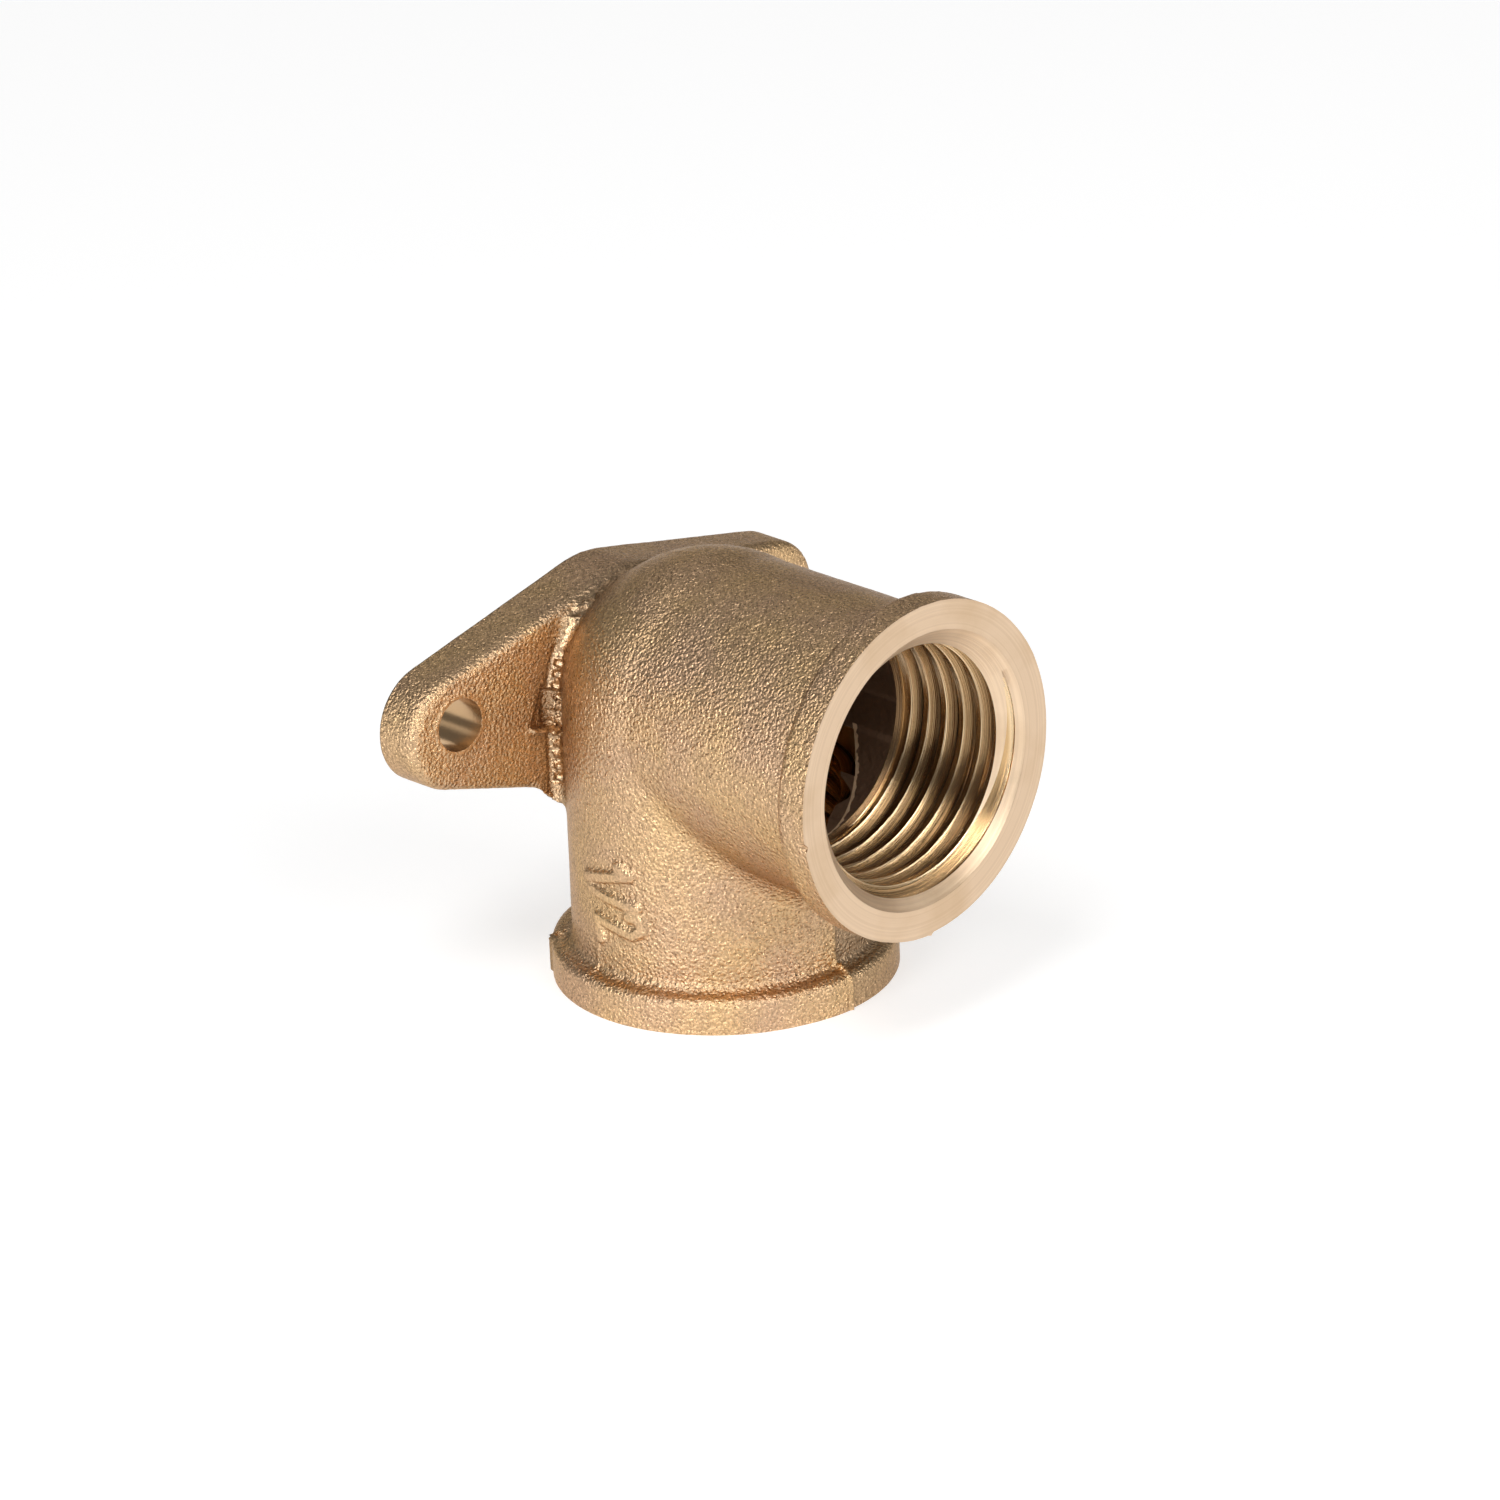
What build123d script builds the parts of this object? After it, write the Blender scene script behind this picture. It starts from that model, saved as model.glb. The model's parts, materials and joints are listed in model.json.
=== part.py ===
"""Wall-plate elbow, cast in bronze: two female ports at a right angle and a two-eared plate behind them.

Frame: the origin is midway between the two wall screws, on the wall face. X runs along the screw line,
-Y points out of the front port, +Z is up and the lower port faces -Z. Sizes are in millimetres.
"""
import os
from math import cos, radians, sin

from build123d import *

# Ports: both are drilled, countersunk and threaded alike
port_reach = 22.0  # from the crossing of the port axes to each machined face
thread_minor_d = 18.631  # half-inch pipe thread, over its crests
thread_depth = 1.162  # from its crests to its roots
mouth_chamfer = 1.57  # countersink at 45 degrees
front_drill_depth = 11.1  # from the machined face to the end of the front port's drilled wall
waterway_d = 17.6  # cored passage round the corner
relief_drop = 3.4  # the lower port's thread relief, below the crossing
relief_width = 2.8

# Barrels and collars
barrel_wall = 2.25  # front barrel, over the thread's crests
riser_swell = 0.15  # the riser's radius over the front barrel's
collar_lip = 1.65  # how far a collar stands out from its barrel
collar_width = 2.9
collar_fillet = 0.55  # foot and rim of a collar
crotch_radius = 3.0  # between the two barrels

# Backplate: a lozenge with a round ear at each screw
wall_gap = 0.73  # between the lower collar and the wall
screw_spacing = 34.2
screw_hole_d = 4.2
screw_rise = 0.7  # the screw line over the front port's axis
ear_radius = 4.65
upper_slope = 12.7  # degrees, of the upper edges against the screw line
lower_slope = 16.2  # degrees, of the lower edges against the screw line
peak_round = 10.0  # where two long edges meet
plate_thickness = 5.2  # behind the barrels
ear_thickness = 4.0  # the plate thins towards its ears
crown_round = 60.0  # where the two thinning faces meet
plate_edge_round = 0.8
plate_root = 0.8  # fillet between the plate and the barrels

thread_r = thread_minor_d / 2
front_r = thread_r + barrel_wall
riser_r = front_r + riser_swell
wall_offset = riser_r + collar_lip + wall_gap
ear_reach = screw_spacing / 2

crossing = (0, -wall_offset, -screw_rise)
front_port = Plane(crossing, x_dir=(1, 0, 0), z_dir=(0, -1, 0))
lower_port = Plane(crossing, x_dir=(1, 0, 0), z_dir=(0, 0, -1))
plate_plane = Plane((0, 0, -screw_rise), x_dir=(1, 0, 0), z_dir=(0, -1, 0))
screw_plane = Plane((0, 0, 0), x_dir=(1, 0, 0), z_dir=(0, -1, 0))


def barrel(radius):
    """The outside of one leg, along +Z: a ball at the crossing, a barrel and a collar."""
    shoulder = port_reach - collar_width
    profile = Plane.XZ * Polygon(
        (0, 0),
        (radius, 0),
        (radius, shoulder),
        (radius + collar_lip, shoulder),
        (radius + collar_lip, port_reach),
        (0, port_reach),
        align=None,
    )
    foot_and_rim = profile.vertices().filter_by_position(Axis.Z, shoulder, shoulder)
    profile = fillet(foot_and_rim, collar_fillet)
    return revolve(profile, Axis.Z) + Sphere(radius)


def socket(shoulder):
    """The hollow of one leg, along +Z: a ball at the crossing, the waterway, the drilled wall and the mouth."""
    water_r = waterway_d / 2
    profile = Plane.XZ * Polygon(
        (0, 0),
        (water_r, 0),
        (water_r, shoulder),
        (thread_r, shoulder),
        (thread_r, port_reach - mouth_chamfer),
        (thread_r + mouth_chamfer, port_reach),
        (0, port_reach),
        align=None,
    )
    return revolve(profile, Axis.Z) + Sphere(water_r)


def relief():
    """The groove at the inner end of the lower port's thread, which opens into the front waterway."""
    groove = Cylinder(thread_r + thread_depth, relief_width, align=(Align.CENTER, Align.CENTER, Align.MIN))
    return Pos(0, 0, relief_drop) * groove


def lozenge():
    """Outline of the plate: four sloping edges that run tangent to the ears and meet in rounded peaks."""
    up, down = radians(upper_slope), radians(lower_slope)
    peak = (ear_radius + ear_reach * sin(up)) / cos(up)
    foot = (ear_radius + ear_reach * sin(down)) / cos(down)
    tip = ear_radius * (cos(up) + cos(down)) / sin(up + down)
    tip_height = (ear_radius - tip * sin(up)) / cos(up)
    tip += ear_reach
    outline = Polygon((tip, tip_height), (0, peak), (-tip, tip_height), (0, -foot), align=None)
    outline = fillet(outline.vertices().group_by(Axis.Y)[1], ear_radius)
    by_height = outline.vertices().group_by(Axis.Y)
    return fillet(by_height[0] + by_height[-1], peak_round)


def backplate():
    """The plate on the wall face: thinner towards its ears, with its front edge rounded."""
    half_length = ear_reach + ear_radius
    thinning = (plate_thickness - ear_thickness) / ear_reach
    end_thickness = plate_thickness - thinning * half_length
    section = Polygon(
        (-half_length, 0),
        (-half_length, -end_thickness),
        (0, -plate_thickness),
        (half_length, -end_thickness),
        (half_length, 0),
        align=None,
    )
    section = fillet(section.vertices().sort_by(Axis.Y)[0], crown_round)
    slab = extrude(plate_plane * lozenge(), plate_thickness)
    plate = slab & extrude(section, half_length, both=True)
    rim = plate.edges().filter_by(lambda edge: edge.center().Y < -end_thickness / 2)
    rim = rim.filter_by(Axis.Y, reverse=True).filter_by(Axis.Z, reverse=True)
    return fillet(rim, plate_edge_round)


def elbow_body():
    """The whole casting, with its ports and screw holes machined."""
    front = front_port * barrel(front_r)
    riser = lower_port * barrel(riser_r)
    elbow = front + riser
    elbow = fillet(new_edges(front, riser, combined=elbow), crotch_radius)
    plate = backplate()
    casting = elbow + plate
    casting = fillet(new_edges(elbow, plate, combined=casting), plate_root)
    casting -= front_port * socket(port_reach - front_drill_depth)
    casting -= lower_port * socket(relief_drop + relief_width)
    casting -= lower_port * relief()
    screws = screw_plane * GridLocations(screw_spacing, 0, 2, 1)
    casting -= screws * Cylinder(screw_hole_d / 2, 2 * plate_thickness)
    return casting


os.makedirs("parts", exist_ok=True)
export_step(elbow_body(), "parts/elbow_body.step")
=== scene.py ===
"""Looks of the wall-plate elbow: a shot-blasted casting with turned faces and cut threads, in a pale studio.

Shapes are worked out in millimetres, in the part's own frame, and scaled to the frame's metres at the end.
"""
import json
import random
from math import atan2, cos, hypot, pi, radians, sin, sqrt, tan

import bmesh
import bpy
from mathutils import Matrix, Vector, noise


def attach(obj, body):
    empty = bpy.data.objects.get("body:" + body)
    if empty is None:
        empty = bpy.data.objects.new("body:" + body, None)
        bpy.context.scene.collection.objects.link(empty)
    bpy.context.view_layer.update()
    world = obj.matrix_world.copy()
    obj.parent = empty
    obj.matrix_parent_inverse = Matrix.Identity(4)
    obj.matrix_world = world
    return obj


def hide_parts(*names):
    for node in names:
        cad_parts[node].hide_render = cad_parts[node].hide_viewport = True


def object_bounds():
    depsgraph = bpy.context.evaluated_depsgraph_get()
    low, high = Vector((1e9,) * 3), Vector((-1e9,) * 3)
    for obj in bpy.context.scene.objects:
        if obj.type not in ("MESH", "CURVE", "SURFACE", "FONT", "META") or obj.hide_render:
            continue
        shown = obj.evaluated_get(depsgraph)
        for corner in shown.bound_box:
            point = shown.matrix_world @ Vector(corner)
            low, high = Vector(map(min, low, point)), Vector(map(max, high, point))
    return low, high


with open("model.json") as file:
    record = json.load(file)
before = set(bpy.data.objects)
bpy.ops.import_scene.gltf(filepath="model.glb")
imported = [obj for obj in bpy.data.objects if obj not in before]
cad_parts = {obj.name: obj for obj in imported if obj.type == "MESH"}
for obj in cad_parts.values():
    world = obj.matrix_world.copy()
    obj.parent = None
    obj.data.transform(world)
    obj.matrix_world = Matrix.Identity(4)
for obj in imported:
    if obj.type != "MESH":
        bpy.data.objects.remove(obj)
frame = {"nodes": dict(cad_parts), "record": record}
cad_low, cad_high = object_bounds()
scene = bpy.context.scene

MM = 0.001

# Sizes from the frame
mounts = {mount["name"]: mount for mount in frame["record"]["mounts"]}
thread_r = mounts["front_port"]["dims"]["r_mm"]
screw_hole_r = mounts["wall_screws"]["dims"]["hole_r_mm"]
screw_x = mounts["wall_screws"]["dims"]["spacing_x_mm"] / 2
front_face_y = cad_low.y / MM
lower_face_z = cad_low.z / MM
crossing = Vector((0, mounts["lower_port"]["pos_m"][1] / MM, mounts["front_port"]["pos_m"][2] / MM))
port_reach = crossing.y - front_face_y

# Sockets: drilled, countersunk and tapped
waterway_r = 8.8
relief_width = 2.8  # groove at the inner end of the lower thread
thread_pitch = 1.814
thread_depth = 1.162
thread_round = 0.249  # radius of the thread's crests and roots
flank_angle = radians(27.5)
crest_flat = 0.15  # how far the drill takes the crests down
thread_phase = 1.53  # depth of a crest on the +X side of a mouth
runout = 0.7  # over which the front groove ends before the drilled wall does
turn_steps = 144  # facets round a turn

# Blank casting
voxel = 0.3  # side of its even faces
machining_stock = 0.6  # what is cut off each mouth and off the wall face
screw_drill_depth = 9.0
riser_r = 11.7
foot_y, foot_z = -26.3, -19.75  # the lower collar's foot on the parting plane
plate_thickness = 5.2  # behind the barrels
plate_slope = 0.0702  # how it thins towards the ears
joint_r, joint_y = 8.1, -5.25  # where the plate's front meets the barrels
fillet_top, flash_top = 4.1, 4.4  # how far along the joint is cleared, and its flash goes
beads_start, beads_end = -7.0, 3.9  # along the joint
knock_place = Vector((-13.1, -36.0, -2.65))  # on the rim of the front collar
fill_place = Vector((-6.3, -5.5, 5.0))  # the filled joint at the plate's upper edge

# What casting and drilling leave on the skin: heights or depths, and half widths
swell_height = 0.035
peel_height = 0.012
fine_height = 0.009
skin_drop = 0.03  # lowers the waves to about the CAD surface
mould_step = 0.13
seam_height, seam_width = 0.12, 0.34
trimmed_seam_height, trimmed_seam_width = 0.03, 0.5
web_height, web_width, web_reach = 0.55, 0.3, 1.1
bead_height, bead_width = 0.42, 0.5
bead_drop = 0.26  # between the beads
bead_flat, bead_reach = 0.12, 0.36  # along the joint
groove_depth, groove_width = 0.12, 0.5
upper_bead_height, upper_bead_width = 0.42, 0.9
knock_depth, knock_width = 0.35, 0.5
print_depth = 0.55
burr_height = 0.4
mark_height, mark_flat, mark_width = 0.31, 0.25, 0.65
rib_height, rib_width = 0.09, 0.4
rib_arc = -2.15  # round the riser from its -X side
rim_height, rim_width = 0.07, 0.32
rim_gap = 0.12  # from a screw hole to the top of its rim
detail_limit = 0.02  # what is lower needs no finer faces

# Look of the surfaces
pebble_size, pebble_depth = 0.3, 0.09
sand_size, sand_depth = 0.2, 0.13
# Painted shade beside the plate's joint: how dark it gets, and how far it reaches
joint_shade_strength, joint_shade_reach = 0.75, 2.4
skin_smoothing = 0.6  # share of the grain that is gone where the skin is smoothest
crisp_angle = radians(38)  # machined edges over it stay sharp

# What counts as on a surface, closely and loosely
touch = 0.001
slack = 0.01


def port_frame(direction):
    """Matrix from port space to the part's frame.

    In port space +Z leaves the mouth and the machined face is at zero.
    """
    out = Vector(direction)
    across = Vector((1, 0, 0))
    turn = Matrix((across, out.cross(across), out)).transposed().to_4x4()
    return Matrix.Translation(crossing + out * port_reach) @ turn


PORTS = {"front": port_frame((0, -1, 0)), "lower": port_frame((0, 0, -1))}


def wall_ends(port):
    """Depths behind the machined face at which a port's drilled wall starts and ends."""
    mount = mounts[port + "_port"]
    middle = -(PORTS[port].inverted() @ (Vector(mount["pos_m"]) / MM)).z
    half = mount["dims"]["length_mm"] / 2
    return middle - half, middle + half


mouth_chamfer = wall_ends("front")[0]
DRILL_DEPTH = {port: wall_ends(port)[1] for port in PORTS}
relief_depth = DRILL_DEPTH["lower"] + relief_width
relief_r = thread_r + thread_depth


def in_port(port, point):
    """Distance of a point from a port's axis, and its depth behind the machined face."""
    local = PORTS[port].inverted() @ point
    return hypot(local.x, local.y), -local.z


def from_screw(point):
    """Distance of a point from the nearer screw's axis."""
    return hypot(abs(point.x) - screw_x, point.z)


def mesh_object(name, bm):
    """A new object in the scene from a bmesh, which is used up."""
    mesh = bpy.data.meshes.new(name)
    bm.to_mesh(mesh)
    bm.free()
    piece = bpy.data.objects.new(name, mesh)
    scene.collection.objects.link(piece)
    return piece


def apply_modifiers(piece):
    """Turns an object's modifiers into its mesh."""
    depsgraph = bpy.context.evaluated_depsgraph_get()
    old = piece.data
    piece.data = bpy.data.meshes.new_from_object(piece.evaluated_get(depsgraph))
    piece.modifiers.clear()
    bpy.data.meshes.remove(old)


# The blank casting

def is_bored(point):
    """Whether a point of the CAD surface lies on a socket, the waterway or a screw hole."""
    if (point - crossing).length < waterway_r + 0.1:
        return True
    for port in PORTS:
        radius, depth = in_port(port, point)
        if touch < depth < port_reach and radius < thread_r + mouth_chamfer - touch:
            return True
    return from_screw(point) < screw_hole_r + touch


# Corners of the wedge that fills the left corner of the plate's lower edge and the riser, front then back
GUSSET = [
    (-9.9, -4.85, -7.5),
    (-8.35, -5.85, -9.1),
    (-7.6, -5.7, -7.2),
    (-9.7, -3.6, -7.5),
    (-7.2, -4.8, -8.9),
    (-6.6, -4.2, -7.2),
]
# Corners of the wedge that fills the joint at the plate's upper edge: plate, dome, tip, then two inside
JOINT_FILL = [
    (-6.7, -4.75, 5.75),
    (-5.5, -6.45, 5.8),
    (-7.05, -5.4, 3.2),
    (-5.0, -4.6, 5.3),
    (-6.0, -4.6, 3.6),
]
drop_place, drop_r = (-4.8, -5.45, 6.05), 0.62  # a drop of metal in the joint, above the wedge


def casting_blank():
    """The CAD casting before machining, in even small faces: no holes, and stock on its three flat faces."""
    bm = bmesh.new()
    bm.from_mesh(frame["nodes"]["elbow_body"].data)
    bmesh.ops.scale(bm, vec=(1 / MM,) * 3, verts=bm.verts)
    bmesh.ops.remove_doubles(bm, verts=bm.verts, dist=0.0005)
    bored = [face for face in bm.faces if is_bored(face.calc_center_median())]
    bmesh.ops.delete(bm, geom=bored, context="FACES")
    rims = [edge for edge in bm.edges if edge.is_boundary]
    bmesh.ops.holes_fill(bm, edges=rims, sides=0)
    for vert in bm.verts:
        if vert.co.y < front_face_y + slack:
            vert.co.y -= machining_stock
        if vert.co.z < lower_face_z + slack:
            vert.co.z -= machining_stock
        if vert.co.y > -slack:
            vert.co.y += machining_stock
    for wedge in (GUSSET, JOINT_FILL):
        corners = [bm.verts.new(corner) for corner in wedge]
        bmesh.ops.convex_hull(bm, input=corners)
    bmesh.ops.create_icosphere(bm, subdivisions=2, radius=drop_r, matrix=Matrix.Translation(drop_place))
    blank = mesh_object("elbow_casting", bm)
    remesh = blank.modifiers.new("even faces", "REMESH")
    remesh.mode = "VOXEL"
    remesh.voxel_size = voxel
    smooth = blank.modifiers.new("no steps", "SMOOTH")
    smooth.factor = 0.5
    smooth.iterations = 2
    apply_modifiers(blank)
    return blank


# What casting leaves on the skin: each function gives a height over the CAD surface at a point

def bell(distance, width):
    """One at zero distance, falling smoothly to zero at the width."""
    share = min(abs(distance) / width, 1)
    return (1 - share * share) ** 2


def plateau(distance, flat, width):
    """One up to the flat distance, then falling smoothly to zero at the width."""
    return bell(max(abs(distance) - flat, 0), width - flat)


def skin_waves(point):
    """Low swells and orange peel of the sand, at most a hair above the CAD surface."""
    swell = noise.noise(point / 5)
    peel = noise.noise(point / 1.1 + Vector((40, 0, 0)))
    fine = noise.noise(point / 0.55 + Vector((0, 70, 0)))
    return swell_height * swell + peel_height * peel + fine_height * fine - skin_drop


def below_barrel(point):
    """One well under the front barrel, fading to zero at its flank."""
    return min(max((crossing.z - 7.5 - point.z) / 2, 0), 1)


def mould_shift(point):
    """The near half of the riser stands a little proud of the far half, up to the parting plane."""
    if point.x > 0 or point.y > crossing.y:
        return 0
    return mould_step * below_barrel(point) * bell(point.x, 5.0)


def parting_seam(point):
    """The trimmed flash where the mould halves met, at X = 0, and a web of it in the lower collar's foot."""
    on_front = point.y < crossing.y - 8 and point.z < crossing.z - 11.5
    if not on_front:
        return trimmed_seam_height * bell(point.x, trimmed_seam_width)
    ragged = 1 + 0.5 * noise.noise(point / 0.8)
    foot = hypot(point.y - foot_y, point.z - foot_z)
    web = web_height * bell(point.x, web_width) * bell(foot, web_reach)
    return seam_height * ragged * bell(point.x, seam_width) + web


def joint_place(point):
    """Where a point is against the plate's joint: along it from the axis, away from it, and inwards."""
    z = point.z - crossing.z
    if z < 0:
        along = z
        across = abs(point.x) - joint_r
    else:
        along = joint_r * atan2(z, abs(point.x))
        across = hypot(point.x, z) - joint_r
    return along, across, point.y - joint_y


def clear_joint(point):
    """How far a point of the joint's fillet moves back to the plate's own face, to make the joint narrow."""
    along, across, _ = joint_place(point)
    face_y = plate_slope * abs(point.x) - plate_thickness
    if along > fillet_top or not (0.25 < across < 1.6 and -1.2 < point.y - face_y < 0):
        return 0
    return (face_y - point.y) * min((across - 0.25) / 0.2, 1)


random.seed(7)
RUNGS = []  # middle along the joint and size of each bead
bead_middle = beads_start
while bead_middle < beads_end:
    RUNGS.append((bead_middle, random.uniform(0.6, 1.2)))
    bead_middle += random.uniform(0.8, 1.1)


def joint_flash(point):
    """Beads of metal where the thin sand between the plate and the barrels broke down."""
    along, across, inwards = joint_place(point)
    if hypot(across, inwards) > 1.6:
        return 0
    rungs = max(size * plateau(along - middle, bead_flat, bead_reach) for middle, size in RUNGS)
    beads = (bead_height * rungs - bead_drop) * bell(hypot(across - 0.15, inwards - 0.1), bead_width)
    groove = groove_depth * bell(hypot(across - 0.45, inwards - 0.6), groove_width)
    return (beads - groove) * min(max((flash_top - along) / 0.6, 0), 1)


def collar_knock(point):
    """A small dent in the rim of the front collar."""
    return -knock_depth * bell((point - knock_place).length, knock_width)


def upper_bead(point):
    """A ragged bead in the valley between the plate's top and the dome."""
    if not (-5.2 < point.x < 3 and -7.5 < point.y < -4 and point.z > 5):
        return 0
    off = hypot(point.y + 5.6, 0.6 * (point.z - 7.3))
    fade = bell(point.x + 2, 5.2)
    ragged = 0.6 + 0.9 * noise.noise(point / 0.7)
    return upper_bead_height * fade * ragged * bell(off, upper_bead_width)


# Lower left corner of the print beside the joint, and how far its lower edge falls towards the right
print_left, print_low, print_fall = -10.4, -2.4, 0.28


def over_print_edge(point):
    """Height of a point over the lower edge of the print beside the joint."""
    return point.z - print_low + print_fall * (point.x - print_left)


def recess_burr(point):
    """Share of full height of the burr along the lower edge of the print."""
    if not (-11 < point.x < -7.8 and -6 < point.y < -3.5):
        return 0
    ragged = 1 + 0.4 * noise.noise(point / 0.5)
    return ragged * plateau(over_print_edge(point) + 0.12, 0.1, 0.24) * plateau(point.x + 9.3, 0.9, 1.3)


def plate_recess(point):
    """A shallow print beside the joint on the left half of the plate, with a burr along its lower edge."""
    if not (-11.5 < point.x < -7.8 and -6 < point.y < -3.5):
        return 0
    from_high = 0.75 - 0.55 * (point.x + 9.1) - point.z
    from_left = point.x - print_left - 0.41 * (point.z - print_low)
    share = min(over_print_edge(point) / 0.2, from_high / 0.45, from_left / 0.7)
    return burr_height * recess_burr(point) - print_depth * min(max(share, 0), 1)


def stroke(point, start, end):
    """Share of full height at a point of a drawn stroke: flat on top, with soft flanks."""
    along = end - start
    share = max(0, min(1, (point - start).dot(along) / along.length_squared))
    return plateau((point - start - along * share).length, mark_flat, mark_width)


# Thread size cast on the riser's left side: strokes as (along the line of print, up) from the first foot
MARK_STROKES = [
    [(-0.75, 3.9), (0, 4.9), (0, 0)],
    [(0.95, 0.2), (2.6, 4.7)],
    [(3.2, 3.8), (3.5, 4.7), (4.4, 4.7), (4.7, 3.7), (3.2, 0.3), (4.9, 0.1)],
]
mark_arc, mark_z = -2.95, -12.3  # the first foot, round the riser from its -X side and up
mark_turn = radians(-75)  # direction of the line of print against the riser's level


def round_riser(point):
    """Arc length round the riser from its -X side to a point, towards the front."""
    return riser_r * atan2(crossing.y - point.y, -point.x)


def mark_level(point):
    """Share of full height of the raised numbers at a point."""
    if point.x > -9 or not (-18.5 < point.z < -9.5):
        return 0
    spot = Vector((round_riser(point) - mark_arc, point.z - mark_z)) @ Matrix.Rotation(mark_turn, 2)
    level = 0
    for line in MARK_STROKES:
        for start, end in zip(line, line[1:]):
            level = max(level, stroke(spot, Vector(start), Vector(end)))
    return level


def size_mark(point):
    """Height of the raised numbers."""
    return mark_height * mark_level(point)


def hole_rim(point):
    """Share of full height of the rim that the drill pushed up in front of a screw hole."""
    if point.y > -3:
        return 0
    return bell(from_screw(point) - screw_hole_r - rim_gap, rim_width)


def drilled_rims(point):
    """Height of those rims."""
    return rim_height * hole_rim(point)


def riser_rib(point):
    """A faint upright line under the numbers, down to the collar."""
    if point.x > -9 or not (-20 < point.z < -17):
        return 0
    return rib_height * bell(round_riser(point) - rib_arc, rib_width)


DETAILS = [
    parting_seam,
    joint_flash,
    upper_bead,
    plate_recess,
    size_mark,
    riser_rib,
    drilled_rims,
    collar_knock,
]


def is_fine(point):
    """Whether a point lies on the small forms of the joint that the photograph's side shows."""
    return point.x < 0 and abs(joint_flash(point) + plate_recess(point)) > detail_limit


def detail_height(point):
    """Height of all details together."""
    return sum(detail(point) for detail in DETAILS)


def skin_height(point):
    """Height of the real skin over the CAD surface."""
    return skin_waves(point) + mould_shift(point) + detail_height(point)


def roughen(piece):
    """Moves the skin's points along their normals, with finer faces where a detail stands out."""
    bm = bmesh.new()
    bm.from_mesh(piece.data)
    marked = {vert for vert in bm.verts if abs(detail_height(vert.co)) > detail_limit}
    edges = [edge for edge in bm.edges if edge.verts[0] in marked or edge.verts[1] in marked]
    bmesh.ops.subdivide_edges(bm, edges=edges, cuts=1, use_grid_fill=True)
    fine = {vert for vert in bm.verts if is_fine(vert.co)}
    edges = [edge for edge in bm.edges if edge.verts[0] in fine and edge.verts[1] in fine]
    bmesh.ops.subdivide_edges(bm, edges=edges, cuts=1, use_grid_fill=True)
    for vert in bm.verts:
        vert.co.y += clear_joint(vert.co)
    bm.normal_update()
    moves = [(vert, vert.normal * skin_height(vert.co)) for vert in bm.verts]
    for vert, move in moves:
        vert.co += move
    bm.to_mesh(piece.data)
    bm.free()


# Machining

def face_off(piece, point, normal):
    """Machines the piece flat: what lies beyond the plane goes, and the cut is closed."""
    bm = bmesh.new()
    bm.from_mesh(piece.data)
    everything = bm.verts[:] + bm.edges[:] + bm.faces[:]
    made = bmesh.ops.bisect_plane(bm, geom=everything, plane_co=point, plane_no=normal, clear_outer=True)
    rim = [part for part in made["geom_cut"] if isinstance(part, bmesh.types.BMEdge)]
    bmesh.ops.holes_fill(bm, edges=rim, sides=0)
    bm.to_mesh(piece.data)
    bm.free()


def revolved(name, profile, place):
    """A closed solid of revolution about Z from (radius, z) pairs that start and end on the axis."""
    bm = bmesh.new()
    circles = []
    for radius, z in profile:
        steps = turn_steps if radius else 1
        angles = [2 * pi * step / steps for step in range(steps)]
        circles.append([bm.verts.new((radius * cos(angle), radius * sin(angle), z)) for angle in angles])
    for lower, upper in zip(circles, circles[1:]):
        for step in range(turn_steps):
            after = (step + 1) % turn_steps
            corners = [lower[step % len(lower)], lower[after % len(lower)]]
            corners += [upper[after % len(upper)], upper[step % len(upper)]]
            bm.faces.new(dict.fromkeys(corners))
    bmesh.ops.recalc_face_normals(bm, faces=bm.faces)
    bmesh.ops.transform(bm, matrix=place, verts=bm.verts)
    return mesh_object(name, bm)


def rod(radius, start, end):
    """Profile of a plain cylinder between two heights."""
    return [(0, start), (radius, start), (radius, end), (0, end)]


def thread_radius(offset):
    """Radius of the rounded 55-degree thread at an axial offset from a crest's middle."""
    sharp_height = thread_pitch / 2 / tan(flank_angle)
    crest = thread_r - crest_flat
    root = crest + 2 / 3 * sharp_height
    reach = abs(offset - thread_pitch * round(offset / thread_pitch))
    from_root = thread_pitch / 2 - reach
    arc = thread_round * cos(flank_angle)
    if reach < arc:
        return crest + thread_round - sqrt(thread_round ** 2 - reach ** 2)
    if from_root < arc:
        return root - thread_round + sqrt(thread_round ** 2 - from_root ** 2)
    return crest - sharp_height / 6 + reach / tan(flank_angle)


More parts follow.
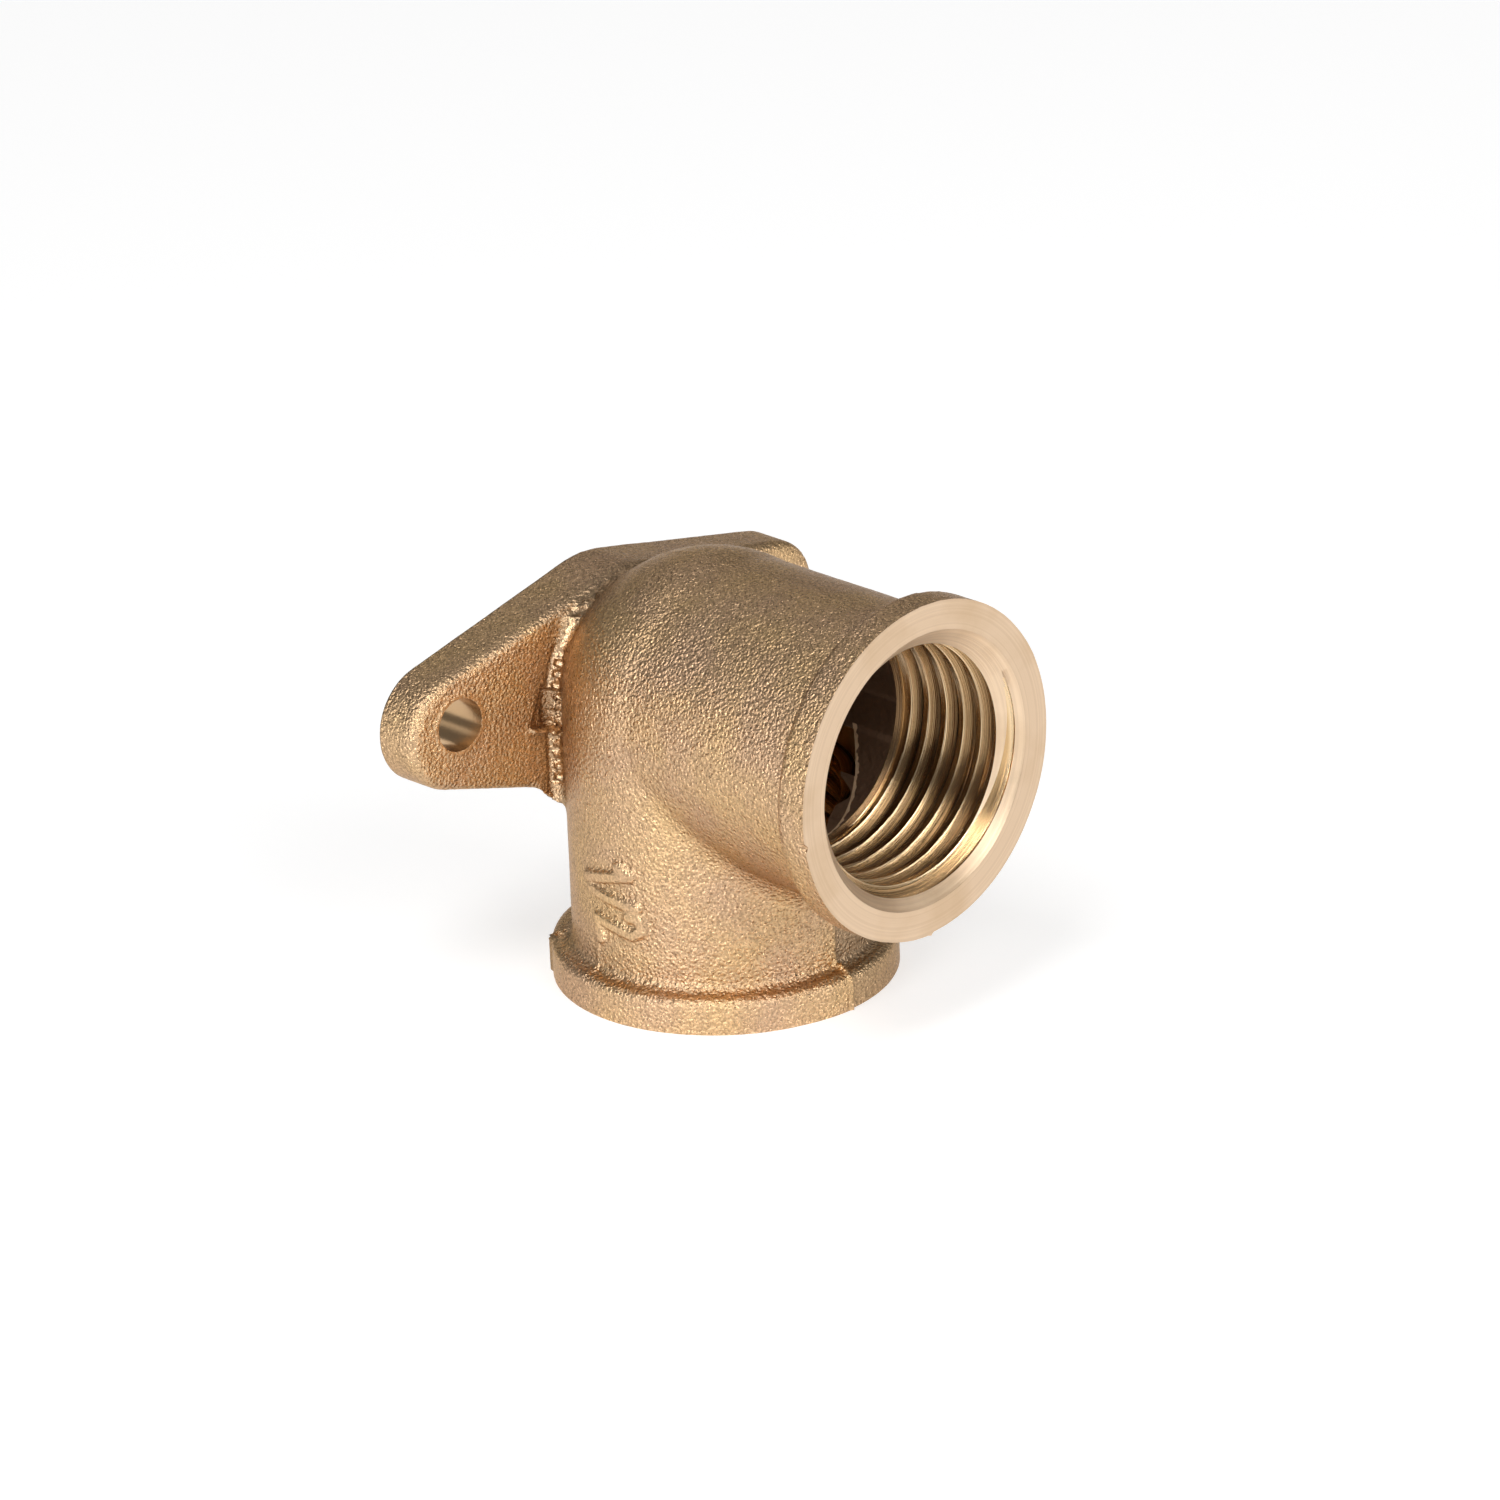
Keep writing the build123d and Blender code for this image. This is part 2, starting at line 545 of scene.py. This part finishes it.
def thread_tap(place, end):
    """The right-hand groove of one port as a closed solid on a helical grid, which runs out at its end."""
    arc = thread_round * cos(flank_angle)
    half = thread_pitch / 2
    round_crest = [-arc, -arc / 2, 0, arc / 2, arc]
    stations = round_crest + [half + station for station in round_crest]
    turns = range(-2, int(end / thread_pitch) + 2)
    offsets = [thread_phase + turn * thread_pitch + station for turn in turns for station in stations]
    bm = bmesh.new()
    rows = []
    for offset in offsets:
        row = []
        for step in range(turn_steps):
            depth = offset + thread_pitch * step / turn_steps
            limit = thread_r + thread_depth * (end - depth) / runout
            radius = max(waterway_r - 0.2, min(thread_radius(offset - thread_phase), limit))
            angle = -2 * pi * step / turn_steps
            row.append(bm.verts.new((radius * cos(angle), radius * sin(angle), -depth)))
        rows.append(row)
    per_turn = len(stations)
    for index, (near, far) in enumerate(zip(rows, rows[1:])):
        for step in range(turn_steps - 1):
            bm.faces.new((near[step], near[step + 1], far[step + 1], far[step]))
        if index + per_turn + 1 < len(rows):
            bm.faces.new((near[-1], rows[index + per_turn][0], rows[index + per_turn + 1][0], far[-1]))
    middle = (offsets[0] + offsets[-1]) / 2
    ends = [bm.verts.new((0, 0, -offsets[0])), bm.verts.new((0, 0, -offsets[-1]))]
    for edge in [edge for edge in bm.edges if edge.is_boundary]:
        deep = -edge.verts[0].co.z > middle
        bm.faces.new((edge.verts[0], edge.verts[1], ends[deep]))
    bmesh.ops.recalc_face_normals(bm, faces=bm.faces)
    bmesh.ops.transform(bm, matrix=place, verts=bm.verts)
    return mesh_object("tap", bm)


def waterway_core():
    """The ball of the cored passage round the corner."""
    bm = bmesh.new()
    place = Matrix.Translation(crossing)
    bmesh.ops.create_uvsphere(bm, u_segments=96, v_segments=48, radius=waterway_r, matrix=place)
    return mesh_object("core", bm)


def cut(piece, cutter):
    """Takes the cutter's volume out of the piece."""
    modifier = piece.modifiers.new("cut", "BOOLEAN")
    modifier.operation = "DIFFERENCE"
    modifier.solver = "MANIFOLD"
    modifier.object = cutter
    apply_modifiers(piece)
    bpy.data.objects.remove(cutter)


def machine(piece):
    """Turns the faces, cuts both sockets and drills the screw holes."""
    face_off(piece, (0, front_face_y, 0), (0, -1, 0))
    face_off(piece, (0, 0, lower_face_z), (0, 0, -1))
    face_off(piece, (0, 0, 0), (0, 1, 0))
    mouth_r = thread_r + mouth_chamfer
    past = 1.0  # how far a cutter starts in front of the work
    countersink = [(0, past), (mouth_r + past, past), (0, -mouth_r)]
    for port, place in PORTS.items():
        cut(piece, revolved("drill", rod(thread_r, past, -DRILL_DEPTH[port]), place))
        cut(piece, revolved("countersink", countersink, place))
        cut(piece, revolved("passage", rod(waterway_r, past - DRILL_DEPTH[port], -port_reach), place))
    cut(piece, waterway_core())
    cut(piece, revolved("relief", rod(relief_r, -DRILL_DEPTH["lower"], -relief_depth), PORTS["lower"]))
    cut(piece, thread_tap(PORTS["front"], DRILL_DEPTH["front"]))
    cut(piece, thread_tap(PORTS["lower"], relief_depth))
    into_plate = Matrix.Rotation(-pi / 2, 4, "X")
    for side in (-1, 1):
        place = Matrix.Translation((side * screw_x, 0, 0)) @ into_plate
        cut(piece, revolved("screw_drill", rod(screw_hole_r, past, -screw_drill_depth), place))


# Materials

def node(tree, kind, inputs, **properties):
    """A new shader node with its properties and its inputs, each a plain value or a socket to link."""
    made = tree.nodes.new("ShaderNode" + kind)
    for name, value in properties.items():
        setattr(made, name, value)
    for name, value in inputs.items():
        if isinstance(value, bpy.types.NodeSocket):
            tree.links.new(value, made.inputs[name])
        else:
            made.inputs[name].default_value = value
    return made


def metal(name, color, roughness):
    """A new bare-metal material of one colour and roughness, to be given its surface."""
    material = bpy.data.materials.new(name)
    material.use_nodes = True
    shader = material.node_tree.nodes["Principled BSDF"]
    shader.inputs["Base Color"].default_value = (*color, 1)
    shader.inputs["Metallic"].default_value = 1
    shader.inputs["Roughness"].default_value = roughness
    return material, material.node_tree, shader


def wire(tree, shader, sockets):
    """Links sockets to the shader's inputs of the given names."""
    for name, socket in sockets.items():
        tree.links.new(socket, shader.inputs[name])


def object_place(tree):
    """Socket with the place on the object, in metres."""
    return node(tree, "TexCoord", {}).outputs["Object"]


def calculate(tree, operation, first, second):
    """Socket with the result of one operation on two values."""
    return node(tree, "Math", {0: first, 1: second}, operation=operation).outputs["Value"]


def remap(tree, value, start, end, to_start, to_end):
    """Socket with a value moved from one range to another and kept inside it."""
    inputs = {"Value": value, "From Min": start, "From Max": end, "To Min": to_start, "To Max": to_end}
    return node(tree, "MapRange", inputs).outputs["Result"]


def tint(tree, factor, first, second, blend="MIX"):
    """Socket with two colours mixed by a factor."""
    inputs = {"Factor": factor, "A": first, "B": second}
    return node(tree, "Mix", inputs, data_type="RGBA", blend_type=blend).outputs["Result"]


def ramp(tree, value, tones):
    """Socket with the colour that a value has on a scale of (position, colour) pairs."""
    made = node(tree, "ValToRGB", {"Fac": value})
    elements = made.color_ramp.elements
    for position, color in tones:
        elements.new(position).color = (*color, 1)
    elements.remove(elements[0])
    elements.remove(elements[-1])
    return made.outputs["Color"]


def grain(tree, place, size, detail=2.0):
    """Socket with noise whose cells are about the given size in millimetres."""
    inputs = {"Vector": place, "Scale": 1 / (size * MM), "Detail": detail}
    return node(tree, "TexNoise", inputs).outputs["Fac"]


def rings(tree, ring, spacing, detail=3.0):
    """Socket with noise along one measure, with cells about the given spacing in millimetres."""
    inputs = {"W": ring, "Scale": 1 / (spacing * MM), "Detail": detail}
    return node(tree, "TexNoise", inputs, noise_dimensions="1D").outputs["Fac"]


def relief_inputs(height, depth, strength):
    """Inputs of a bump node for a relief of the given depth in millimetres."""
    return {"Height": height, "Strength": strength, "Distance": depth * MM}


def relief(tree, height, depth, strength=1.0):
    """Socket with the normals of a relief of the given depth in millimetres."""
    return node(tree, "Bump", relief_inputs(height, depth, strength)).outputs["Normal"]


# Base tones of the cast skin, drifting between the two
CAST_TONES = [
    (0.35, (0.595, 0.395, 0.245)),
    (0.65, (0.65, 0.435, 0.23)),
]


def cast_bronze():
    """Shot-blasted skin: a sparkling grain in low relief, with tone that drifts, and painted shade by
    attribute under the front barrel and beside the joint.
    """
    material, tree, shader = metal("cast_bronze", (0.62, 0.412, 0.232), 0.36)
    shader.inputs["Specular Tint"].default_value = (0.7, 0.62, 0.55, 1)
    place = object_place(tree)
    cells = node(tree, "TexVoronoi", {"Vector": place, "Scale": 1 / (pebble_size * MM)})
    sand = grain(tree, place, sand_size)
    gloss = remap(tree, grain(tree, place, pebble_size), 0.3, 0.7, 0.22, 0.38)
    tones = ramp(tree, grain(tree, place, 6.0, 3.0), CAST_TONES)
    # Painted shade: the skin darkens to this brown under the front barrel past the parting plane, and beside
    # the plate's joint
    painted_shade = node(tree, "Attribute", {}, attribute_name="painted_shade").outputs["Fac"]
    tones = tint(tree, painted_shade, tones, (0.43, 0.295, 0.18, 1))
    tones = tint(tree, 1.0, tones, remap(tree, sand, 0.3, 0.7, 0.72, 1.3), "MULTIPLY")
    blasted = node(tree, "Attribute", {}, attribute_name="blasted").outputs["Fac"]
    pits = node(tree, "Bump", relief_inputs(cells.outputs["Distance"], pebble_depth, blasted), invert=True)
    skin = node(tree, "Bump", relief_inputs(sand, sand_depth, blasted))
    tree.links.new(pits.outputs["Normal"], skin.inputs["Normal"])
    wire(tree, shader, {"Base Color": tones, "Roughness": gloss, "Normal": skin.outputs["Normal"]})
    return material


def round_axis(tree, port):
    """Sockets with the distance from a port's axis and the height over its machined face, in metres."""
    place = object_place(tree)
    origin = PORTS[port].translation * MM
    axis = PORTS[port].to_3x3() @ Vector((0, 0, 1))
    local = node(tree, "VectorMath", {0: place, 1: origin}, operation="SUBTRACT").outputs["Vector"]
    height = node(tree, "VectorMath", {0: local, 1: axis}, operation="DOT_PRODUCT").outputs["Value"]
    turned = node(tree, "VectorMath", {0: local, 1: axis}, operation="CROSS_PRODUCT").outputs["Vector"]
    radius = node(tree, "VectorMath", {0: turned}, operation="LENGTH").outputs["Value"]
    return radius, height


def turning_marks(tree, shader, port, spacing, depth):
    """Fine rings about a port's axis, as the tool leaves them."""
    ring = calculate(tree, "ADD", *round_axis(tree, port))
    wire(tree, shader, {"Normal": relief(tree, rings(tree, ring, spacing), depth)})


def turned_bronze(port):
    """A faced ring and its duller countersink, whose paler tone is painted light, with turning marks and
    faint stains.
    """
    material, tree, shader = metal("turned_bronze_" + port, (0.74, 0.55, 0.375), 0.32)
    radius, height = round_axis(tree, port)
    passes = rings(tree, radius, 0.25, 4.0)
    face = tint(tree, passes, (0.6, 0.43, 0.29, 1), (0.82, 0.62, 0.43, 1))
    # Painted light: the countersink gets paler tones than the faced ring
    painted_light_cone = tint(tree, passes, (0.7, 0.52, 0.36, 1), (0.96, 0.75, 0.53, 1))
    sunk = calculate(tree, "LESS_THAN", height, -0.02 * MM)
    stains = remap(tree, grain(tree, object_place(tree), 5.0, 5.0), 0.45, 0.7, 0, 0.5)
    tones = tint(tree, stains, tint(tree, sunk, face, painted_light_cone), (0.56, 0.38, 0.22, 1))
    wire(tree, shader, {"Base Color": tones, "Roughness": remap(tree, sunk, 0, 1, 0.32, 0.46)})
    turning_marks(tree, shader, port, 0.2, 0.025)
    return material


# Tones from inside the crests, over them and down to the roots: painted light on the crests, painted shade
# darkening towards the roots
THREAD_TONES_WITH_PAINTED_SHADE = [
    (0.44, (0.2, 0.12, 0.06)),
    (0.48, (0.86, 0.64, 0.39)),
    (0.52, (0.86, 0.64, 0.39)),
    (0.57, (0.64, 0.42, 0.21)),
    (0.77, (0.4, 0.24, 0.11)),
    (0.92, (0.05, 0.027, 0.012)),
]


def threaded_bronze(port):
    """Cut thread: painted light on its crests and at its start, painted shade darkening towards its roots.
    """
    material, tree, shader = metal("threaded_bronze_" + port, (0.8, 0.6, 0.36), 0.18)
    radius, height = round_axis(tree, port)
    reach = remap(tree, radius, (thread_r - thread_depth) * MM, relief_r * MM, 0, 1)
    streaks = rings(tree, calculate(tree, "ADD", radius, height), 0.16)
    reach = calculate(tree, "ADD", reach, remap(tree, streaks, 0, 1, -0.1, 0.1))
    # Painted light: the thread's start near the mouth is kept on the bright tones
    painted_light_at_start = remap(tree, height, -1.4 * mouth_chamfer * MM, -0.5 * mouth_chamfer * MM, 1, 0.5)
    reach = calculate(tree, "MINIMUM", reach, painted_light_at_start)
    wire(tree, shader, {"Base Color": ramp(tree, reach, THREAD_TONES_WITH_PAINTED_SHADE)})
    turning_marks(tree, shader, port, 0.1, 0.03)
    return material


def cored_bronze():
    """The dark skin of the cored waterway, deepened with painted shade, with a bright ragged burr where the
    relief breaks into it.
    """
    # Darker cored skin, and painted shade of the deep bore: made far darker than the outer skin
    dark_skin_and_painted_shade = (0.13, 0.073, 0.042)
    material, tree, shader = metal("cored_bronze", dark_skin_and_painted_shade, 0.7)
    shader.inputs["Metallic"].default_value = 0
    shader.inputs["Specular IOR Level"].default_value = 0.2
    place = object_place(tree)
    radius, height = round_axis(tree, "lower")
    ragged = remap(tree, grain(tree, place, 0.7), 0.3, 0.7, 0, 0.35 * MM)
    over = calculate(tree, "SUBTRACT", radius, relief_r * MM)
    near = calculate(tree, "LESS_THAN", over, ragged)
    beyond = calculate(tree, "GREATER_THAN", over, -0.05 * MM)
    below_end = calculate(tree, "GREATER_THAN", height, -(relief_depth + 0.4) * MM)
    burr = calculate(tree, "MULTIPLY", calculate(tree, "MULTIPLY", near, beyond), below_end)
    skin = relief(tree, grain(tree, place, 0.5, 4.0), 0.15)
    tones = tint(tree, burr, (*dark_skin_and_painted_shade, 1), (0.62, 0.44, 0.28, 1))
    wire(tree, shader, {"Base Color": tones, "Normal": skin})
    return material


def bored_bronze():
    """The bored wall of the thread relief."""
    material, tree, shader = metal("bored_bronze", (0.8, 0.53, 0.28), 0.36)
    turning_marks(tree, shader, "lower", 0.3, 0.03)
    return material


def drilled_bronze():
    """The smooth wall of a screw hole."""
    material, tree, shader = metal("drilled_bronze", (0.57, 0.37, 0.2), 0.25)
    skin = relief(tree, grain(tree, object_place(tree), 0.3), 0.02, 0.3)
    wire(tree, shader, {"Normal": skin})
    return material


# Where the look of the surface changes

def far_side_painted_shade(point):
    """How far the skin is darkened with painted shade: under the barrel, past the parting plane, fading
    round the far side.
    """
    if point.x < 0.05:
        return 0
    on_collar = 0.55 if point.z < foot_z else 1
    return on_collar * below_barrel(point) * min(max((crossing.y + 5 - point.y) / 10, 0), 1)


def joint_shade(point):
    """How far the skin is darkened with painted shade beside the joint."""
    _, across, inwards = joint_place(point)
    shade = joint_shade_strength * bell(hypot(max(across - 0.4, 0), inwards), joint_shade_reach)
    return shade * (1 - min(recess_burr(point), 1))


def smooth_level(point):
    """How far the skin is smoother than elsewhere: on numbers, burr, filled joint, beads and hole rims."""
    fill = bell((point - fill_place).length, 1.5)
    _, across, inwards = joint_place(point)
    beads = bell(hypot(across - 0.25, inwards), 1.0)
    return max(mark_level(point), recess_burr(point), fill, beads, hole_rim(point))


def surface_of(point):
    """Name of the surface that a point of the finished mesh lies on."""
    for port in PORTS:
        radius, depth = in_port(port, point)
        on_countersink = abs(radius + depth - thread_r - mouth_chamfer) < 0.02
        if abs(depth) < 0.002 or on_countersink and depth < mouth_chamfer:
            return "turned_" + port
        end = relief_depth if port == "lower" else DRILL_DEPTH[port]
        if DRILL_DEPTH[port] + runout < depth < end + slack and thread_r < radius < relief_r + slack:
            return "bored"
        is_core = radius < waterway_r + slack
        if depth < end + runout and radius < thread_r + mouth_chamfer and not is_core:
            return "threaded_" + port
        if is_core and depth < port_reach:
            return "cored"
    if (point - crossing).length < waterway_r + 0.2:
        return "cored"
    if from_screw(point) < screw_hole_r + touch:
        return "drilled"
    return "cast"


def finish_surfaces(piece):
    """Gives each face the material of its surface, and keeps machined edges crisp."""
    materials = {
        "cast": cast_bronze(),
        "cored": cored_bronze(),
        "bored": bored_bronze(),
        "drilled": drilled_bronze(),
    }
    for port in PORTS:
        materials["turned_" + port] = turned_bronze(port)
        materials["threaded_" + port] = threaded_bronze(port)
    names = list(materials)
    piece.data.materials.clear()
    for name in names:
        piece.data.materials.append(materials[name])
    bm = bmesh.new()
    bm.from_mesh(piece.data)
    blasted = bm.verts.layers.float.new("blasted")
    # Painted shade under the front barrel past the parting plane, and beside the plate's joint
    painted_shade = bm.verts.layers.float.new("painted_shade")
    for vert in bm.verts:
        vert[blasted] = 1 - skin_smoothing * min(smooth_level(vert.co), 1)
        vert[painted_shade] = max(far_side_painted_shade(vert.co), joint_shade(vert.co))
    for face in bm.faces:
        face.material_index = names.index(surface_of(face.calc_center_median()))
        face.smooth = True
    for edge in bm.edges:
        kinds = {face.material_index for face in edge.link_faces}
        machined = kinds - {names.index("cast"), names.index("cored")}
        edge.smooth = len(kinds) == 1 and not (machined and edge.calc_face_angle(0) > crisp_angle)
    bm.to_mesh(piece.data)
    bm.free()


# Camera
camera_azimuth = radians(-44.712)
camera_elevation = radians(23.075)
camera_roll = radians(-2.341)
camera_distance = 691.194
photo_size = 1500
focal_pixels = 9000
aim_pixel = (726.422, 962.281)  # where the middle of the lower face falls


def add_camera():
    """The camera at the photograph's place."""
    level = cos(camera_elevation)
    back = Vector((sin(camera_azimuth) * level, -cos(camera_azimuth) * level, sin(camera_elevation)))
    level_right = Vector((cos(camera_azimuth), sin(camera_azimuth), 0))
    level_up = back.cross(level_right)
    right = level_right * cos(camera_roll) + level_up * sin(camera_roll)
    up = level_up * cos(camera_roll) - level_right * sin(camera_roll)
    across = (aim_pixel[0] - photo_size / 2) / focal_pixels * camera_distance
    above = (photo_size / 2 - aim_pixel[1]) / focal_pixels * camera_distance
    aim = Vector((0, crossing.y, lower_face_z))
    data = bpy.data.cameras.new("camera")
    data.sensor_width = 36
    data.lens = data.sensor_width * focal_pixels / photo_size
    data.clip_start = 0.01
    data.clip_end = 100
    camera = bpy.data.objects.new("camera", data)
    camera.matrix_world = Matrix((right, up, back)).transposed().to_4x4()
    camera.location = (aim + back * camera_distance - right * across - up * above) * MM
    scene.collection.objects.link(camera)
    scene.camera = camera


# Studio

surroundings = 0.2  # grey level
floor_tone = 0.6
floor_glow = 0.56
floor_half = 4.0  # metres
softbox_distance = 0.8  # metres from the crossing of the ports
# Azimuth and elevation in degrees, side in metres, watts
SOFTBOXES = {
    "left": (-82, 13, 0.36, 3.1),
    "upper_left": (-70, 60, 0.3, 2.25),
    "front_low": (10, 15, 0.22, 1.7),
    "front_high": (-12, 36, 0.36, 1.6),
    "back_left": (-135, 36, 0.3, 0.2),
    "right": (60, 42, 0.5, 0.48),
    "back_right": (143, 31, 0.28, 0.29),
}


def add_softbox(name, azimuth, elevation, size, watts):
    """A square soft light that faces the part, placed as a camera would be."""
    turn, tilt = radians(azimuth), radians(elevation)
    back = Vector((sin(turn) * cos(tilt), -cos(turn) * cos(tilt), sin(tilt)))
    data = bpy.data.lights.new(name, "AREA")
    data.shape = "SQUARE"
    data.size = size
    data.energy = watts
    light = bpy.data.objects.new(name, data)
    light.location = crossing * MM + back * softbox_distance
    light.rotation_mode = "QUATERNION"
    light.rotation_quaternion = back.to_track_quat("Z", "Y")
    scene.collection.objects.link(light)


def add_world():
    """Even grey surroundings."""
    world = bpy.data.worlds.new("studio")
    world.use_nodes = True
    background = world.node_tree.nodes["Background"]
    background.inputs["Color"].default_value = (surroundings, surroundings, surroundings, 1)
    scene.world = world


def add_floor():
    """A pale floor that shows white, with the part's soft shadow, to the eye and in the metal."""
    signs = [(-1, -1), (1, -1), (1, 1), (-1, 1)]
    corners = [(x * floor_half, y * floor_half, cad_low.z) for x, y in signs]
    mesh = bpy.data.meshes.new("floor")
    mesh.from_pydata(corners, [], [(0, 1, 2, 3)])
    floor = bpy.data.objects.new("floor", mesh)
    scene.collection.objects.link(floor)
    material = bpy.data.materials.new("floor")
    material.use_nodes = True
    tree = material.node_tree
    shader = tree.nodes["Principled BSDF"]
    shader.inputs["Base Color"].default_value = (floor_tone, floor_tone, floor_tone, 1)
    shader.inputs["Roughness"].default_value = 1
    shader.inputs["Specular IOR Level"].default_value = 0
    shader.inputs["Emission Color"].default_value = (floor_glow, floor_glow, floor_glow, 1)
    rays = node(tree, "LightPath", {}).outputs
    seen = calculate(tree, "MAXIMUM", rays["Is Camera Ray"], rays["Is Glossy Ray"])
    seen = calculate(tree, "MAXIMUM", seen, rays["Is Transmission Ray"])
    wire(tree, shader, {"Emission Strength": seen})
    mesh.materials.append(material)


elbow = casting_blank()
roughen(elbow)
machine(elbow)
finish_surfaces(elbow)
elbow.data.transform(Matrix.Scale(MM, 4))
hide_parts("elbow_body")
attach(elbow, "root")

add_camera()
add_world()
add_floor()
for name, setting in SOFTBOXES.items():
    add_softbox(name, *setting)
scene.view_settings.view_transform = "Standard"
